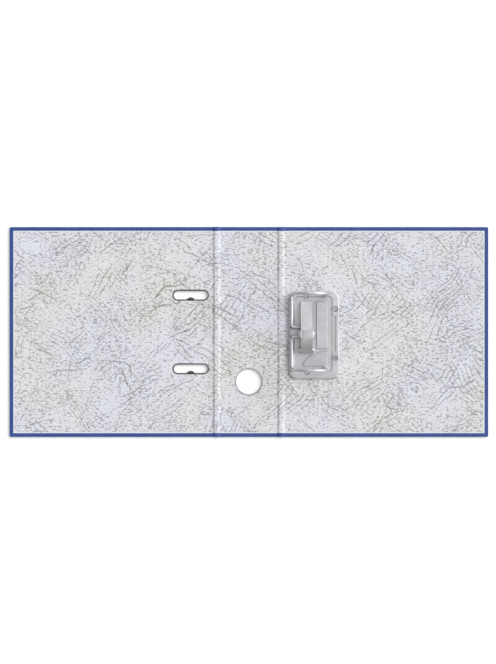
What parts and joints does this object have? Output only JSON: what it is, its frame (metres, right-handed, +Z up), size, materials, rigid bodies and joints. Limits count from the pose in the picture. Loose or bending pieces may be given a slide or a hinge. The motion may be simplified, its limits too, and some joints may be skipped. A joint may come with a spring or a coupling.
{
  "type": "lever arch file",
  "caption": "Lever arch file lying open: two stiff covers hinged on a spine with a finger hole, arch slots, and a riveted lever-operated ring mechanism.",
  "frame": {"origin": "under the middle of the spine, at mid height of the file, on the surface that the open file lies on", "axes": "+X from the spine to the back cover with the mechanism, +Y to the top of the file, +Z up out of the inside"},
  "size_m": [0.52, 0.228, 0.0732],
  "materials": {
    "covering": "fine grained matt film",
    "greyboard": "raw greyboard",
    "lining_paper": "printed leather-grain paper",
    "plated_sheet": "satin nickel plate",
    "plated_wire": "bright nickel plate",
    "rivet_steel": "nickel plate",
    "eyelet_steel": "dull nickel plate",
    "roller_steel": "turned steel",
    "clear_film": "clear film",
    "card": "blank card"
  },
  "bodies": {
    "back_cover": {"back_board": "greyboard", "back_wrap": "covering", "back_lining": "lining_paper", "base_plate": "plated_sheet", "upper_post": "plated_wire", "lower_post": "plated_wire", "plate_rivets": "rivet_steel", "rivet_washers": "rivet_steel", "lever_bracket": "plated_sheet"},
    "spine": {"spine_board": "greyboard", "spine_wrap": "covering", "spine_lining": "lining_paper", "label_pocket": "clear_film", "front_hinge_wrap": "covering", "front_hinge_board": "greyboard", "front_hinge_lining": "lining_paper", "back_hinge_wrap": "covering", "back_hinge_board": "greyboard", "back_hinge_lining": "lining_paper"},
    "front_cover": {"front_board": "greyboard", "front_wrap": "covering", "front_lining": "lining_paper", "upper_slot_eyelet": "eyelet_steel", "lower_slot_eyelet": "eyelet_steel"},
    "lever_body": {"lever": "plated_sheet", "lever_pivot_pin": "rivet_steel", "roller_pin": "rivet_steel"},
    "roller_body": {"roller": "roller_steel"},
    "arch_body": {"arch_wire": "plated_wire"},
    "label_body": {"label_card": "card"}
  },
  "joints": [
    {"name": "back_hinge", "type": "hinge", "parent": "back_cover", "child": "spine", "pos_m": [0.035, 0, 0.0013], "axis": [0, 1, 0], "range_deg": [0, 90], "deforming": ["back_hinge_wrap", "back_hinge_board", "back_hinge_lining"]},
    {"name": "front_hinge", "type": "hinge", "parent": "spine", "child": "front_cover", "pos_m": [-0.035, 0, 0.0013], "axis": [0, 1, 0], "range_deg": [0, 90], "deforming": ["front_hinge_wrap", "front_hinge_board", "front_hinge_lining"]},
    {"name": "lever_pivot", "type": "hinge", "parent": "back_cover", "child": "lever_body", "pos_m": [0.062, -0.0196, 0.009], "axis": [-1, 0, 0], "range_deg": [-80, 0]},
    {"name": "arch_swing", "type": "hinge", "parent": "back_cover", "child": "arch_body", "pos_m": [0.0461, 0, 0.006], "axis": [0, 1, 0], "range_deg": [-38, 0]},
    {"name": "roller_spin", "type": "hinge", "parent": "lever_body", "child": "roller_body", "pos_m": [0.062, -0.0022, 0.0123], "axis": [1, 0, 0], "continuous": true},
    {"name": "label_slide", "type": "slide", "parent": "spine", "child": "label_body", "axis": [0, 1, 0], "range_m": [0, 0.12]}
  ],
  "couplings": [
    {"joint": "arch_swing", "follows": "lever_pivot", "ratio": 0.475}
  ]
}
